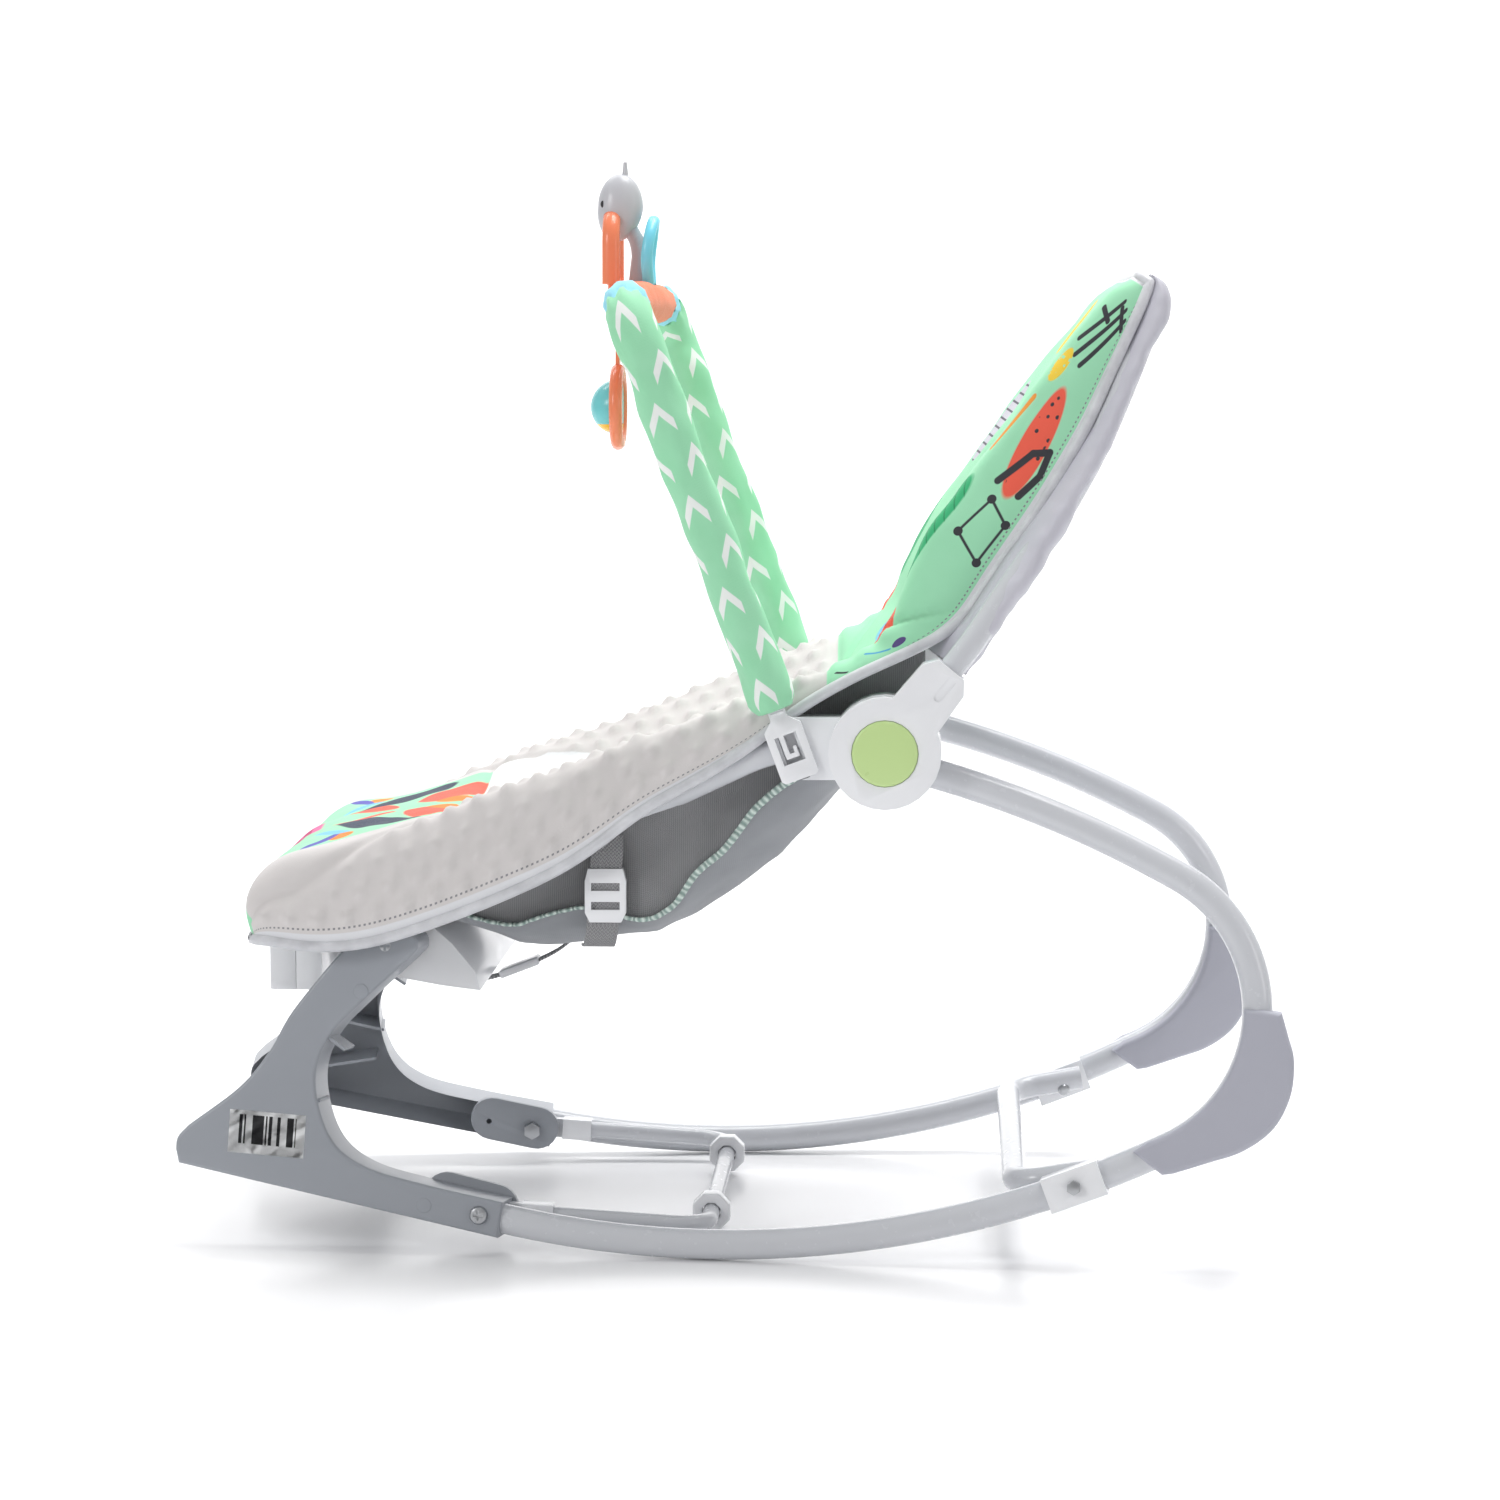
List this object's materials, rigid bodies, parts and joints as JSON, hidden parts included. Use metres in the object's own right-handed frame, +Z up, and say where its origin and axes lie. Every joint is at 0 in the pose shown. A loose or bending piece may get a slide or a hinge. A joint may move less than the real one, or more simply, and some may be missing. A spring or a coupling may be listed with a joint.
{
  "type": "infant rocker seat",
  "caption": "Rocking infant seat with bent tube rails, moulded front legs, reclining padded back, fold-down kickstand and a removable toy bar.",
  "frame": {"origin": "on the floor under the middle of the seat, at the centre of the outer box; the rockers touch the floor at X = -13 mm", "axes": "+X towards the head end, +Y across the seat to the side called left, +Z up"},
  "size_m": [0.7026, 0.4302, 0.6893],
  "materials": {
    "leg_plastic": "satin",
    "frame_paint": "gloss light grey",
    "stop_rubber": "matt",
    "white_plastic": "gloss",
    "button_green": "satin",
    "steel": "zinc plated",
    "gear_plastic": "satin",
    "plush": "dotted plush",
    "print_fabric": "printed cotton",
    "sling_fabric": "woven",
    "webbing": "woven webbing",
    "toy_grey": "satin",
    "toy_orange": "gloss",
    "toy_blue": "satin",
    "toy_cyan": "gloss"
  },
  "bodies": {
    "frame": {"seat_tube": "frame_paint", "front_bracket": "white_plastic", "rear_crossbar": "frame_paint", "vibration_front_shell": "white_plastic", "vibration_rear_shell": "white_plastic", "battery": "steel", "vibration_motor": "steel", "seat_pad": "plush", "under_sling": "sling_fabric", "left_leg": "leg_plastic", "left_leg_plate": "leg_plastic", "left_rocker_tube": "frame_paint", "left_rear_stop": "stop_rubber", "left_crossbar_clamp": "white_plastic", "left_clamp_bolt": "steel", "left_kickstand_bolt": "steel", "left_leg_screw": "steel", "left_hub_base": "white_plastic", "left_hub_bolt": "steel", "left_side_strap": "webbing", "left_side_buckle": "white_plastic", "right_leg": "leg_plastic", "right_leg_plate": "leg_plastic", "right_rocker_tube": "frame_paint", "right_rear_stop": "stop_rubber", "right_crossbar_clamp": "white_plastic", "right_clamp_bolt": "steel", "right_kickstand_bolt": "steel", "right_leg_screw": "steel", "right_hub_base": "white_plastic", "right_hub_bolt": "steel", "right_side_strap": "webbing", "right_side_buckle": "white_plastic"},
    "backrest": {"back_tube": "frame_paint", "back_pad": "print_fabric", "left_hub_cover": "white_plastic", "right_hub_cover": "white_plastic"},
    "left_button": {"left_recline_button": "button_green", "left_lock_gear": "gear_plastic", "left_button_spring": "steel"},
    "right_button": {"right_recline_button": "button_green", "right_lock_gear": "gear_plastic", "right_button_spring": "steel"},
    "kickstand": {"kickstand_tube": "frame_paint", "left_kickstand_end": "white_plastic", "left_kickstand_foot": "white_plastic", "right_kickstand_end": "white_plastic", "right_kickstand_foot": "white_plastic"},
    "toy_bar": {"toy_bar_tube": "white_plastic", "toy_bar_sleeve": "print_fabric", "toy_head": "toy_grey", "toy_arch": "toy_orange", "toy_leaf": "toy_blue", "left_toy_bar_clip": "white_plastic", "right_toy_bar_clip": "white_plastic"},
    "hanging_toy": {"hanging_ring": "toy_orange"},
    "spinner": {"spinner_dome": "toy_cyan"},
    "power_switch": {"power_switch": "gear_plastic"},
    "eccentric_weight": {"eccentric_weight": "steel"}
  },
  "joints": [
    {"name": "backrest_recline", "type": "hinge", "parent": "frame", "child": "backrest", "pos_m": [0.099, 0, 0.32], "axis": [0, 1, 0], "range_deg": [0, 28]},
    {"name": "left_button_press", "type": "slide", "parent": "backrest", "child": "left_button", "axis": [0, -1, 0], "range_m": [0, 0.0033], "stiffness_N_per_m": 900, "springref_m": -0.002, "deforming": ["left_button_spring"]},
    {"name": "right_button_press", "type": "slide", "parent": "backrest", "child": "right_button", "axis": [0, 1, 0], "range_m": [0, 0.0033], "stiffness_N_per_m": 900, "springref_m": -0.002, "deforming": ["right_button_spring"]},
    {"name": "kickstand_fold", "type": "hinge", "parent": "frame", "child": "kickstand", "pos_m": [-0.15279, 0, 0.02388], "axis": [0, 1, 0], "range_deg": [0, 35]},
    {"name": "toy_bar_pull", "type": "slide", "parent": "frame", "child": "toy_bar", "axis": [-0.3486, 0, 0.9373], "range_m": [0, 0.06]},
    {"name": "hanging_toy_swing", "type": "hinge", "parent": "toy_bar", "child": "hanging_toy", "pos_m": [-0.07955, 0, 0.58], "axis": [0, 1, 0], "range_deg": [-20, 20]},
    {"name": "spinner_turn", "type": "hinge", "parent": "hanging_toy", "child": "spinner", "pos_m": [-0.07955, 0, 0.52982], "axis": [0, 1, 0], "continuous": true},
    {"name": "power_switch_slide", "type": "slide", "parent": "frame", "child": "power_switch", "axis": [0, 1, 0], "range_m": [-0.003, 0.003]},
    {"name": "eccentric_weight_spin", "type": "hinge", "parent": "frame", "child": "eccentric_weight", "pos_m": [-0.283, 0, 0.166], "axis": [0, 1, 0], "continuous": true}
  ]
}
